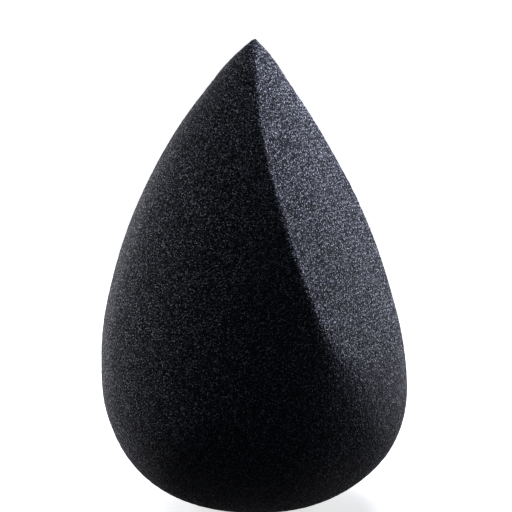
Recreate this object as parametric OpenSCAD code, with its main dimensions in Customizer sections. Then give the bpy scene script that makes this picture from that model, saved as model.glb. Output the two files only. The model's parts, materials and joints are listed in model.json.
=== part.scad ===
// Makeup sponge: one drop of fine-celled foam with a flat bevel cut down its side.
// It stands on a small flat at Z = 0, the drop's axis is Z, and the bevel faces +X.
// The drop's outline is four arcs, each running into the next with no corner:
// the shallow base, the shoulder that turns up into the belly, the long flank
// and the small round tip. The bevel leans in from the belly to the tip, so its
// rim starts at the tip, swings out across the flank on both sides and dies
// away just below the belly.

/* [Drop] */
// Height from the standing flat to the tip of the drop
sponge_h = 61.5; // [45:0.5:80]
// Diameter at the belly, the widest level
belly_d = 40; // [34:0.5:52]
// Radius of the shallow arc under the drop
base_r = 30; // [22:0.5:60]
// Radius of the arc that turns the base up into the belly
shoulder_r = 16; // [9:0.1:19.4]
// Radius of the round tip
tip_r = 0.7; // [0.3:0.1:5]
// How deep the base is flattened where the sponge stands
flat_depth = 0.5; // [0.1:0.1:2]

/* [Bevel] */
// Lean of the bevel from the drop's axis, in degrees
bevel_angle = 22.5; // [12:0.5:30]
// How far below the tip the bevel crosses the axis
bevel_drop = 0.2; // [0:0.05:8]

/* [Hidden] */
$fn = 96;

// How far a cutting shape runs past what it cuts
overrun = 2;
// How much each long arc is drawn short of its true radius. The arc inside it
// then laps over its end, and no step is left where the two touch.
arc_lap = 0.001;

belly_r = belly_d / 2;

// The shoulder arc touches the base arc from inside, so their centres are the
// difference of their radii apart. The base arc's centre is on the axis.
base_z = base_r - flat_depth;
shoulder_x = belly_r - shoulder_r;
centre_gap = base_r - shoulder_r;
centre_fall = sqrt(pow(centre_gap, 2) - pow(shoulder_x, 2));
belly_z = base_z - centre_fall;
base_end_z = base_z - base_r * centre_fall / centre_gap;

// The flank arc stands upright at the belly and touches the round tip from
// outside. Those two facts give its radius.
tip_z = sponge_h - tip_r;
flank_h = tip_z - belly_z;
flank_r = (pow(belly_r, 2) - pow(tip_r, 2) + pow(flank_h, 2)) / (2 * (belly_r - tip_r));
flank_x = belly_r - flank_r;
flank_end_z = belly_z + flank_h * flank_r / (flank_r - tip_r);

// Where the bevel crosses the axis, and the slope length from there to the floor
bevel_z = sponge_h - bevel_drop;
bevel_len = bevel_z / cos(bevel_angle);

// A disc in the section's plane, centred x out from the axis and z up
module disc(x, z, r) {
    translate([x, z]) circle(r = r);
}

// The part of a disc that lies between two heights, outside the axis
module disc_band(x, z, r, low, high) {
    intersection() {
        disc(x, z, r);
        translate([0, low]) square([belly_r + overrun, high - low]);
    }
}

// Half of the drop's section: the four arcs, base to tip, round a core that
// fills the middle, all cut off at the axis and at the standing flat
module half_section() {
    intersection() {
        union() {
            disc_band(0, base_z, base_r - arc_lap, -flat_depth - overrun, base_end_z);
            disc(shoulder_x, belly_z, shoulder_r);
            disc_band(flank_x, belly_z, flank_r - arc_lap, belly_z, flank_end_z);
            disc(0, tip_z, tip_r);
            polygon([[0, 0], [shoulder_x, base_end_z], [shoulder_x, belly_z], [0, tip_z]]);
        }
        square([belly_r + overrun, sponge_h + overrun]);
    }
}

// The block that takes off the foam outside the bevel. Its near face is the
// bevel's plane, which leans over the axis towards the tip.
module bevel_block() {
    translate([0, 0, bevel_z])
        rotate([0, -bevel_angle, 0])
            translate([0, -belly_r - overrun, -bevel_len - overrun])
                cube([belly_d, belly_d + 2 * overrun, 2 * (bevel_len + overrun)]);
}

// The sponge: the drop turned about its axis, with the bevel cut from its side
module sponge_body() {
    color("#25262b")
        difference() {
            rotate_extrude() half_section();
            bevel_block();
        }
}

sponge_body();
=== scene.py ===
import json
import math

import bmesh
import bpy
import numpy as np
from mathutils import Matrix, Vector, noise


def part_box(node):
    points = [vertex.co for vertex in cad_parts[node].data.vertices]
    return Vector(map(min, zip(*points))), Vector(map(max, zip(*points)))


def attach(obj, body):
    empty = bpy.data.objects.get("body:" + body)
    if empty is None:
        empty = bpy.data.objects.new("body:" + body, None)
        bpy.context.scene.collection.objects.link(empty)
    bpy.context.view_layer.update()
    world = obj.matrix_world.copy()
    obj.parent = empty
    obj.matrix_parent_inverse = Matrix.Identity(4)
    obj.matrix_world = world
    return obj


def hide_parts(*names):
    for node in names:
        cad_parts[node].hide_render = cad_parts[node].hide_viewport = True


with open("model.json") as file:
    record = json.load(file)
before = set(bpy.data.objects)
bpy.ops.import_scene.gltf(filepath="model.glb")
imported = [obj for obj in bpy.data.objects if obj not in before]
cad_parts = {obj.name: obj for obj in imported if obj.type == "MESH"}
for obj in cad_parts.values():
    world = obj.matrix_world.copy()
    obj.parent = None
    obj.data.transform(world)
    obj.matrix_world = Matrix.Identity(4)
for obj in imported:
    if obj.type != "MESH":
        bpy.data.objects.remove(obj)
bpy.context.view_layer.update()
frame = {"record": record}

# The sponge
# One block of black polyurethane foam, cast open-celled and so fine that it feels
# like velvet. It is ground to a round drop, and the bevel is sliced off in one cut.
# A last light grinding takes the edge off the bevel's rim, and most of all at its foot.
mm = 0.001

# The outline is four arcs that run into each other: base, shoulder, flank and tip.
low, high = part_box("sponge_body")
belly_r = (high.y - low.y) / 2
sponge_h = high.z
base_r = 30 * mm
shoulder_r = 16 * mm
tip_r = 0.7 * mm
flat_depth = 0.5 * mm

base_z = base_r - flat_depth
shoulder_x = belly_r - shoulder_r
belly_z = base_z - math.sqrt((base_r - shoulder_r) ** 2 - shoulder_x ** 2)
tip_z = sponge_h - tip_r
flank_h = tip_z - belly_z
flank_r = (belly_r ** 2 - tip_r ** 2 + flank_h ** 2) / (2 * (belly_r - tip_r))
flank_x = belly_r - flank_r

# The bevel is the flat face that the part's record names.
bevel = next(m for m in frame["record"]["mounts"] if m["name"] == "bevel")
bevel_point = np.array(bevel["pos_m"])
bevel_out = np.array(bevel["axis"]) / np.linalg.norm(bevel["axis"])

# The least length that anything is divided by, for a point on the drop's axis or at
# the centre of an arc
least = 1e-9


def from_round(p):
    """How far each point lies outside the round of the drop, and the way out from it."""
    rho = np.maximum(np.hypot(p[:, 0], p[:, 1]), least)
    z = p[:, 2]
    upper = z > belly_z
    on_tip = flank_x * (z - belly_z) + flank_h * (rho - flank_x) < 0
    on_base = shoulder_x * (z - base_z) < (belly_z - base_z) * rho
    arcs = [upper & on_tip, upper, on_base]
    centre_x = np.select(arcs, [0, flank_x, 0], shoulder_x)
    centre_z = np.select(arcs, [tip_z, belly_z, base_z], belly_z)
    radius = np.select(arcs, [tip_r, flank_r, base_r], shoulder_r)
    run = rho - centre_x
    rise = z - centre_z
    reach = np.maximum(np.hypot(run, rise), least)
    way_out = np.stack([p[:, 0] / rho * run, p[:, 1] / rho * run, rise], 1)
    return reach - radius, way_out / reach[:, None]


def from_bevel(p):
    """How far each point lies outside the bevel."""
    return (p - bevel_point) @ bevel_out


# The mesh starts as a cube's six faces, each a grid. The cube stands on a corner,
# so its top corner becomes the tip, and the face towards +X becomes the bevel.
cube_size = 2
cage_cells = 8
cage = bmesh.new()
bmesh.ops.create_cube(cage, size=cube_size)
bmesh.ops.subdivide_edges(cage, edges=cage.edges[:], cuts=cage_cells - 1, use_grid_fill=True)

# Each face has its own square of the map, three across and two up, with a margin.
# The bevel's face is marked by its material number until the mesh is finished.
square_fill = 0.985
bake_map = cage.loops.layers.uv.new("OFBake")
for face in cage.faces:
    axis = max(range(3), key=lambda i: abs(face.normal[i]))
    side = int(face.normal[axis] < 0)
    face.material_index = int(axis == 0 and side == 0)
    for loop in face.loops:
        across, along = (loop.vert.co[(axis + i) % 3] * square_fill / cube_size + 0.5
                         for i in (1, 2))
        loop[bake_map].uv = ((axis + across) / 3, (side + along) / 2)

# The bevel's rim and the tip stay sharp when the cage is halved.
rim_crease = cage.edges.layers.float.new("crease_edge")
for edge in cage.edges:
    edge[rim_crease] = float(len({face.material_index for face in edge.link_faces}) == 2)
tip_crease = cage.verts.layers.float.new("crease_vert")
near_corner = 0.99 * cube_size / 2
for vertex in cage.verts:
    vertex[tip_crease] = float(min(vertex.co) > near_corner)

foam_mesh = bpy.data.meshes.new("foam_sponge")
cage.to_mesh(foam_mesh)
cage.free()


def coordinates(mesh):
    """The mesh's vertices as rows of three numbers."""
    p = np.zeros(len(mesh.vertices) * 3, np.float32)
    mesh.vertices.foreach_get("co", p)
    return p.reshape(-1, 3).astype(float)


def sort_out(mesh):
    """The mesh's quads, and which of its vertices are on the bevel and which on its rim."""
    quads = np.zeros(len(mesh.polygons) * 4, np.int32)
    mesh.polygons.foreach_get("vertices", quads)
    quads = quads.reshape(-1, 4)
    bevelled = np.zeros(len(mesh.polygons), np.int32)
    mesh.polygons.foreach_get("material_index", bevelled)
    of_bevel, of_round = np.zeros((2, len(mesh.vertices)), bool)
    of_bevel[quads[bevelled == 1]] = True
    of_round[quads[bevelled == 0]] = True
    return quads, of_bevel & ~of_round, of_bevel & of_round


# After this many steps, a point is far less than a micrometre off its face.
settlings = 4


def settle(p, on_bevel, on_rim):
    """Moves each point to the face that it belongs to, or to the edge between the two."""
    for _ in range(settlings):
        off_round, out = from_round(p)
        off_bevel = from_bevel(p)
        lap = out @ bevel_out
        free = 1 - lap ** 2
        to_round = np.where(on_rim, (off_round - lap * off_bevel) / free,
                            np.where(on_bevel, 0, off_round))
        to_bevel = np.where(on_rim, (off_bevel - lap * off_round) / free,
                            np.where(on_bevel, off_bevel, 0))
        p = p - to_round[:, None] * out - to_bevel[:, None] * bevel_out
    p[:, 2] = np.maximum(p[:, 2], 0)
    return p


# The cube is blown up to a ball, which is turned so that its corner is on top.
quads, on_bevel, on_rim = sort_out(foam_mesh)
ball = coordinates(foam_mesh)
ball /= np.linalg.norm(ball, axis=1)[:, None]
up = np.ones(3) / math.sqrt(3)
front = np.array([2, -1, -1]) / math.sqrt(6)
ball = np.stack([ball @ front, ball @ np.cross(up, front), ball @ up], 1)
tip = int(np.argmax(ball[:, 2]))

# The ball is drawn out to the drop. Each point goes to the height that has as large a
# share of the drop's skin above it as the point had of the ball's.
levels = 400
width_steps = 40
heights = np.linspace(0, sponge_h, levels)
widths = np.zeros(levels)
for _ in range(width_steps):
    widths -= from_round(np.stack([widths, heights * 0, heights], 1))[0]
slopes = np.hypot(np.diff(widths), np.diff(heights))
skin = np.concatenate([[0], np.cumsum(slopes * (widths[1:] + widths[:-1]))])
point_height = np.interp((1 + ball[:, 2]) / 2, skin / skin[-1], heights)
point_width = np.interp(point_height, heights, widths)
around = np.arctan2(ball[:, 1], ball[:, 0])
p = np.stack([point_width * np.cos(around), point_width * np.sin(around), point_height], 1)

# The grid relaxes until its quads are about equal. It slides on the drop as it does,
# with the bevel's rim held on the arris.
relaxings = 400
relax_share = 0.5
for _ in range(relaxings):
    corner = p[quads]
    middle = corner.mean(1)
    area = np.linalg.norm(np.cross(corner[:, 2] - corner[:, 0], corner[:, 3] - corner[:, 1]), axis=1)
    pulled = np.zeros((len(p), 3))
    weight = np.zeros(len(p))
    for k in range(4):
        np.add.at(pulled, quads[:, k], middle * area[:, None])
        np.add.at(weight, quads[:, k], area)
    p = p + relax_share * (pulled / weight[:, None] - p)
    p[tip] = (0, 0, sponge_h)
    p = settle(p, on_bevel, on_rim)
foam_mesh.vertices.foreach_set("co", p.astype(np.float32).ravel())

# The cage is halved until its quads are a quarter of a millimetre across.
halvings = 4
sponge = bpy.data.objects.new("foam_sponge", foam_mesh)
bpy.context.scene.collection.objects.link(sponge)
finer = sponge.modifiers.new("finer", "SUBSURF")
finer.levels = halvings
finer.uv_smooth = "NONE"
deps = bpy.context.evaluated_depsgraph_get()
foam_mesh = bpy.data.meshes.new_from_object(sponge.evaluated_get(deps))
sponge.modifiers.clear()
sponge.data = foam_mesh
quads, on_bevel, on_rim = sort_out(foam_mesh)
p = settle(coordinates(foam_mesh), on_bevel, on_rim)

# The arris is rounded a little more towards the belly, and the last grinding has worn
# it away altogether at the bevel's foot, where the bevel fades into the round.
arris_tip = 0.12 * mm
arris_low = 0.7 * mm
arris_foot = 4.4 * mm
foot_level = 14 * mm
foot_spread = 8 * mm


def soft_skin(p):
    """How far each point lies outside the rounded sponge, the way out, and the bevel's share."""
    off_round, out = from_round(p)
    off_bevel = from_bevel(p)
    blend = arris_low + (arris_tip - arris_low) * p[:, 2] / sponge_h
    blend += arris_foot * np.exp(-(np.maximum(p[:, 2] - foot_level, 0) / foot_spread) ** 2)
    near = np.maximum(blend - np.abs(off_round - off_bevel), 0) / blend
    share = np.where(off_round > off_bevel, near / 2, 1 - near / 2)[:, None]
    way_out = (1 - share) * out + share * bevel_out
    length = np.linalg.norm(way_out, axis=1)
    gap = np.maximum(off_round, off_bevel) + near ** 2 * blend / 4
    return gap / length, way_out / length[:, None], share[:, 0]


for _ in range(settlings):
    gap, way_out, share = soft_skin(p)
    p -= gap[:, None] * way_out

# The sliced skin of the bevel carries the brighter painted glints. Towards the bevel's foot, where the
# light falls off, it fades into the darker ground skin: painted shade.
cut_end = 12 * mm
cut_run_out = 15 * mm
cut_share = share * np.clip((p[:, 2] - cut_end) / cut_run_out, 0, 1)
cut_marks = foam_mesh.attributes.new("cut", "FLOAT", "POINT")
cut_marks.data.foreach_set("value", cut_share.astype(np.float32))

# Painted highlight: the cells along the rim of the cut are drawn paler, where its edge catches the
# light.
rim_highlight_width = 0.6 * mm
rim_highlight = share * np.exp(from_round(p)[0] / rim_highlight_width)
rim_highlight_marks = foam_mesh.attributes.new("painted_rim_highlight", "FLOAT", "POINT")
rim_highlight_marks.data.foreach_set("value", rim_highlight.astype(np.float32))

# Foam is never quite true: it dips and swells by a tenth of a millimetre, and the
# opened cells leave the skin rough.
swell = 0.10 * mm
swell_size = 9 * mm
grain = 0.05 * mm
grain_size = 0.45 * mm
relief = np.array([swell * noise.noise(v / swell_size) + grain * noise.noise(v / grain_size)
                   for v in map(Vector, p)])

# Grinding isn't quite round either. Seen from the camera, the drop is fuller above the
# belly on its left and slacker below it, and on its right it is fuller from the belly
# to half way up. Each swelling has its side, level and spread, and how far it stands out.
right_side = np.array([0.93, 0.37, 0])
left_side = -right_side
for side, level, spread, amount in ((left_side, 23.5 * mm, 6.5 * mm, 0.36 * mm),
                                    (left_side, 10.5 * mm, 3.5 * mm, -0.16 * mm),
                                    (left_side, 35 * mm, 8 * mm, 0.15 * mm),
                                    (right_side, 37 * mm, 7 * mm, 0.22 * mm),
                                    (right_side, 28 * mm, 10 * mm, 0.12 * mm),
                                    (right_side, 16 * mm, 7 * mm, 0.78 * mm)):
    facing = np.maximum(way_out @ side, 0) ** 2
    relief += amount * facing * np.exp(-((p[:, 2] - level) / spread) ** 2)

# All round, it is a little fuller just under the tip.
blunt = 0.2 * mm
blunt_level = 58.5 * mm
blunt_spread = 2.5 * mm
relief += blunt * np.exp(-((p[:, 2] - blunt_level) / blunt_spread) ** 2)

# The cut face springs out a little once it is free, most where the cut is deepest.
crown_share = 0.1
relief += crown_share * share * np.maximum(-from_round(p)[0], 0)
p += relief[:, None] * way_out
p[:, 2] = np.maximum(p[:, 2], 0)
foam_mesh.vertices.foreach_set("co", p.astype(np.float32).ravel())
foam_mesh.polygons.foreach_set("material_index", np.zeros(len(foam_mesh.polygons), np.int32))
foam_mesh.polygons.foreach_set("use_smooth", np.ones(len(foam_mesh.polygons), bool))
for name in ("crease_edge", "crease_vert"):
    foam_mesh.attributes.remove(foam_mesh.attributes[name])
foam_mesh.update()


def hex_colour(text):
    """A colour written as sRGB hex, as the linear values that Blender's sockets take."""
    parts = [int(text[i:i + 2], 16) / 255 for i in (1, 3, 5)]
    return [c / 12.92 if c <= 0.04045 else ((c + 0.055) / 1.055) ** 2.4 for c in parts] + [1]


def add(material, kind, inputs=(), **settings):
    """Adds a node, sets what it is set to, and fills its inputs with values or links."""
    node = material.node_tree.nodes.new("ShaderNode" + kind)
    for name, value in settings.items():
        if hasattr(node, name):
            setattr(node, name, value)
        else:
            node.inputs[name.replace("_", " ")].default_value = value
    for socket, source in dict(inputs).items():
        if isinstance(source, bpy.types.NodeSocket):
            material.node_tree.links.new(source, node.inputs[socket])
        else:
            node.inputs[socket].default_value = source
    return node


# Black open-celled polyurethane foam, dyed in the mass, ground on the round and sliced on the bevel.
# Grinding leaves a dark nap. Its small pale specks are painted glints, where the ends of cell walls
# catch the light.
# The blade opens wider cells, so the bevel looks grittier and its painted glints are brighter.
foam = bpy.data.materials.new("black_open_cell_polyurethane_foam")
foam.use_nodes = True
foam.node_tree.nodes.clear()
place = add(foam, "TexCoord").outputs["Object"]

# A painted glint is even out to this share of its cell's size, and then it fades.
glint_core = 0.15


def cells(size, shades, glint_reach=None):
    """The shade of cells of one size, or only of a painted glint in each, and their depth."""
    net = add(foam, "TexVoronoi", {"Vector": place}, Scale=1 / size)
    lot = add(foam, "SeparateColor", {"Color": net.outputs["Color"]})
    if glint_reach:
        near = add(foam, "MapRange", {"Value": net.outputs["Distance"]}, interpolation_type="SMOOTHSTEP",
                   From_Min=glint_core, From_Max=glint_reach, To_Min=1.0, To_Max=0.0)
        lot = add(foam, "Math", {0: near.outputs[0], 1: lot.outputs[0]}, operation="MULTIPLY")
    ramp = add(foam, "ValToRGB", {"Fac": lot.outputs[0]})
    while len(ramp.color_ramp.elements) < len(shades):
        ramp.color_ramp.elements.new(1)
    for element, (at, shade) in zip(ramp.color_ramp.elements, shades):
        element.position = at
        element.color = hex_colour(shade)
    return ramp.outputs[0], net.outputs["Distance"]


# The cells of fine makeup foam are 0.1 to 0.15 mm across, which is about one pixel of
# the picture. What shows as its grain is painted glints on the cell-wall ends in one cell
# out of a few. They are drawn at 0.2 and 0.23 mm, as coarse as they need to be to show one by one.
ground_cell = 0.11 * mm
ground_shades = [(0, "#07070a"), (0.7, "#1c1d21"), (1, "#606268")]
ground_glint_gap = 0.2 * mm
# Painted glints: pale to white specks of colour on the black foam.
ground_glint_shades = [(0.05, "#000000"), (0.5, "#86868a"), (1, "#f4f4f8")]
ground_glint_reach = 0.5
ground, _ = cells(ground_cell, ground_shades)
ground_glints, ground_pits = cells(ground_glint_gap, ground_glint_shades, ground_glint_reach)
ground = add(foam, "VectorMath", {0: ground, 1: ground_glints}, operation="ADD").outputs[0]

sliced_cell = 0.14 * mm
sliced_shades = [(0, "#050506"), (0.7, "#16171c"), (1, "#666874")]
sliced_glint_gap = 0.23 * mm
# Painted glints, brighter on the bevel than on the ground skin.
sliced_glint_shades = [(0.06, "#000000"), (0.5, "#b2b2ba"), (1, "#ffffff")]
sliced_glint_reach = 0.52
sliced, _ = cells(sliced_cell, sliced_shades)
sliced_glints, sliced_pits = cells(sliced_glint_gap, sliced_glint_shades, sliced_glint_reach)
sliced = add(foam, "VectorMath", {0: sliced, 1: sliced_glints}, operation="ADD").outputs[0]

# Ground and sliced skin meet in ragged patches a few cells across, not along a line.
patch_size = 0.3 * mm
# Painted light: the bevel's skin has brighter painted glints, and it gives way to the darker ground skin
# at its foot as painted shade.
cut = add(foam, "Attribute", attribute_name="cut").outputs["Fac"]
patch = add(foam, "TexVoronoi", {"Vector": place}, Scale=1 / patch_size)
patch = add(foam, "SeparateColor", {"Color": patch.outputs["Color"]})
cut = add(foam, "Math", {0: cut, 1: patch.outputs[0]}, operation="GREATER_THAN").outputs[0]
colour = add(foam, "Mix", {0: cut, 6: ground, 7: sliced}, data_type="RGBA").outputs[2]

# Painted highlight: along the rim of the cut the foam is up to half as bright again.
rim_highlight_gain = 0.5
painted_rim_highlight = add(foam, "Attribute", attribute_name="painted_rim_highlight").outputs["Fac"]
paler = add(foam, "Math", {0: painted_rim_highlight, 1: rim_highlight_gain, 2: 1}, operation="MULTIPLY_ADD").outputs[0]
colour = add(foam, "VectorMath", {0: colour, 3: paler}, operation="SCALE").outputs[0]

# The open cells are pits, and the walls between them are torn and uneven.
pit_depth = 0.12 * mm
torn_depth = 0.25 * mm
torn_size = 0.25 * mm
pits = add(foam, "Mix", {0: cut, 2: ground_pits, 3: sliced_pits}, data_type="FLOAT").outputs[0]
bump = add(foam, "Bump", {"Height": pits}, Distance=pit_depth, Strength=1.0).outputs[0]
torn = add(foam, "TexNoise", {"Vector": place}, Scale=1 / torn_size, Detail=1.0).outputs[0]
bump = add(foam, "Bump", {"Height": torn, "Normal": bump}, Distance=torn_depth, Strength=1.0).outputs[0]

# Light that enters an open cell hardly comes back, so the foam is all but without
# gloss. The thin walls that stand up give it a trace of sheen at the edges.
shader = add(foam, "BsdfPrincipled", {"Base Color": colour, "Normal": bump},
             Roughness=0.9, Specular_IOR_Level=0.03,
             Sheen_Weight=0.08, Sheen_Roughness=0.3, Sheen_Tint=hex_colour("#fff8f0"))
add(foam, "OutputMaterial", {"Surface": shader.outputs[0]})
foam_mesh.materials.clear()
foam_mesh.materials.append(foam)

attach(sponge, "root")
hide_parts("sponge_body")

# The floor
# A plain sheet of white paper. The camera and anything glossy see it white, and it
# keeps the sponge's soft shadow. It sends little light back up, because foam as dark
# as this would show a glow from below all round its foot.
floor_size = 6
bpy.ops.mesh.primitive_plane_add(size=floor_size)
floor = bpy.context.object
floor.name = "floor"

# White uncoated paper, pressed flat and matt, which looks the same from all sides. It
# glows a little less close to the sponge, so that the shadow there isn't washed out.
plain_white = hex_colour("#ffffff")
glow_near = 0.7
glow_near_reach = 60 * mm
glow_full_reach = 300 * mm
paper = bpy.data.materials.new("white_paper")
paper.use_nodes = True
paper.node_tree.nodes.clear()
dim = add(paper, "BsdfDiffuse", Color=hex_colour("#2e2e2e")).outputs[0]
lit = add(paper, "BsdfDiffuse", Color=hex_colour("#e8e8e8")).outputs[0]
spot = add(paper, "TexCoord").outputs["Object"]
far = add(paper, "VectorMath", {0: spot}, operation="LENGTH").outputs["Value"]
fade = add(paper, "MapRange", {"Value": far}, interpolation_type="SMOOTHSTEP",
           From_Min=glow_near_reach, From_Max=glow_full_reach, To_Min=glow_near).outputs[0]
glow = add(paper, "Emission", {"Strength": fade}, Color=plain_white).outputs[0]
seen = add(paper, "AddShader", {0: lit, 1: glow}).outputs[0]
white = add(paper, "Emission", Color=plain_white, Strength=1.0).outputs[0]
path = add(paper, "LightPath").outputs
shown = add(paper, "MixShader", {0: path["Is Camera Ray"], 1: dim, 2: seen}).outputs[0]
mirrored = add(paper, "Math", {0: path["Is Glossy Ray"], 1: path["Is Transmission Ray"]},
               operation="MAXIMUM").outputs[0]
sheet = add(paper, "MixShader", {0: mirrored, 1: shown, 2: white}).outputs[0]
add(paper, "OutputMaterial", {"Surface": sheet})
floor.data.materials.append(paper)

# The camera
# A long lens half a metre off, a little above the sponge and turned from its front
# towards the bevel, so that the bevel shows as a narrow face on the right.
camera_azimuth = math.radians(21.7)
camera_elevation = math.radians(12)
camera_distance = 500 * mm
aim = Vector((0.06 * mm, 0.02 * mm, 33 * mm))
camera_data = bpy.data.cameras.new("camera")
camera_data.lens = 270.5
camera_data.sensor_width = 36
camera_data.clip_start = 10 * mm
camera = bpy.data.objects.new("camera", camera_data)
bpy.context.scene.collection.objects.link(camera)
bpy.context.scene.camera = camera


def towards(azimuth, elevation):
    """The direction from the sponge to something at that azimuth and elevation."""
    flat = math.cos(elevation)
    return Vector((math.sin(azimuth) * flat, -math.cos(azimuth) * flat, math.sin(elevation)))


camera.location = aim + towards(camera_azimuth, camera_elevation) * camera_distance
camera.rotation_euler = (aim - camera.location).to_track_quat("-Z", "Y").to_euler()

# The lights
# Plain soft boxes, nearly all beside the sponge or behind it. One skims the bevel from
# above and behind, at 23 to 36 degrees to its face. The others draw a pale rim down
# each side, which fades towards the dark front.

# A white sheet renders as just white if a lamp of this many watts faces it from 1 m off.
white_watts = math.pi ** 2


def softbox(name, azimuth, elevation, distance, width, height, level, colour):
    """A lamp at that many degrees round from the camera and up, where level 1 renders white."""
    lamp = bpy.data.lights.new(name, "AREA")
    lamp.shape = "RECTANGLE"
    lamp.size = width
    lamp.size_y = height
    lamp.energy = level * white_watts * distance ** 2
    lamp.color = hex_colour(colour)[:3]
    holder = bpy.data.objects.new(name, lamp)
    bpy.context.scene.collection.objects.link(holder)
    way = towards(camera_azimuth + math.radians(azimuth), math.radians(elevation))
    holder.location = aim + way * distance
    holder.visible_camera = False
    holder.rotation_euler = (-way).to_track_quat("-Z", "Y").to_euler()


softbox("bevel_key", azimuth=130, elevation=53, distance=90 * mm,
        width=40 * mm, height=40 * mm, level=1.6, colour="#e4eaff")
softbox("bevel_side", azimuth=98, elevation=-12, distance=100 * mm,
        width=40 * mm, height=30 * mm, level=0.2, colour="#f0f0f8")
softbox("right_rim", azimuth=140, elevation=0, distance=300 * mm,
        width=100 * mm, height=200 * mm, level=0.45, colour="#f6f8ff")
softbox("low_right_rim", azimuth=142, elevation=-14, distance=110 * mm,
        width=60 * mm, height=10 * mm, level=0.5, colour="#f6f8ff")
softbox("left_near", azimuth=-110, elevation=0, distance=90 * mm,
        width=40 * mm, height=40 * mm, level=0.45, colour="#f4f4fc")
softbox("left_top", azimuth=-95, elevation=40, distance=140 * mm,
        width=40 * mm, height=40 * mm, level=0.22, colour="#f4f6ff")
softbox("left_rim", azimuth=-147, elevation=-2, distance=150 * mm,
        width=30 * mm, height=40 * mm, level=0.5, colour="#f6f8ff")
softbox("low_left_rim", azimuth=-135, elevation=-14, distance=110 * mm,
        width=60 * mm, height=10 * mm, level=0.55, colour="#f6f8ff")
softbox("top", azimuth=-60, elevation=70, distance=500 * mm,
        width=200 * mm, height=200 * mm, level=0.08, colour="#f4f6ff")

# The studio
# A white room, as the camera and anything glossy see it. On the foam it puts only a
# faint bluish fill, so that the side away from the lamps stays nearly black.
fill_level = 0.045
world = bpy.data.worlds.new("studio")
world.use_nodes = True
world.node_tree.nodes.clear()
fill = add(world, "Background", Color=hex_colour("#9cc0f8"), Strength=fill_level).outputs[0]
backdrop = add(world, "Background", Color=plain_white, Strength=1.0).outputs[0]
path = add(world, "LightPath").outputs
seen = add(world, "Math", {0: path["Is Camera Ray"], 1: path["Is Glossy Ray"]},
           operation="MAXIMUM").outputs[0]
seen = add(world, "Math", {0: seen, 1: path["Is Transmission Ray"]}, operation="MAXIMUM").outputs[0]
room = add(world, "MixShader", {0: seen, 1: fill, 2: backdrop}).outputs[0]
add(world, "OutputWorld", {"Surface": room})
bpy.context.scene.world = world
bpy.context.scene.view_settings.view_transform = "Standard"
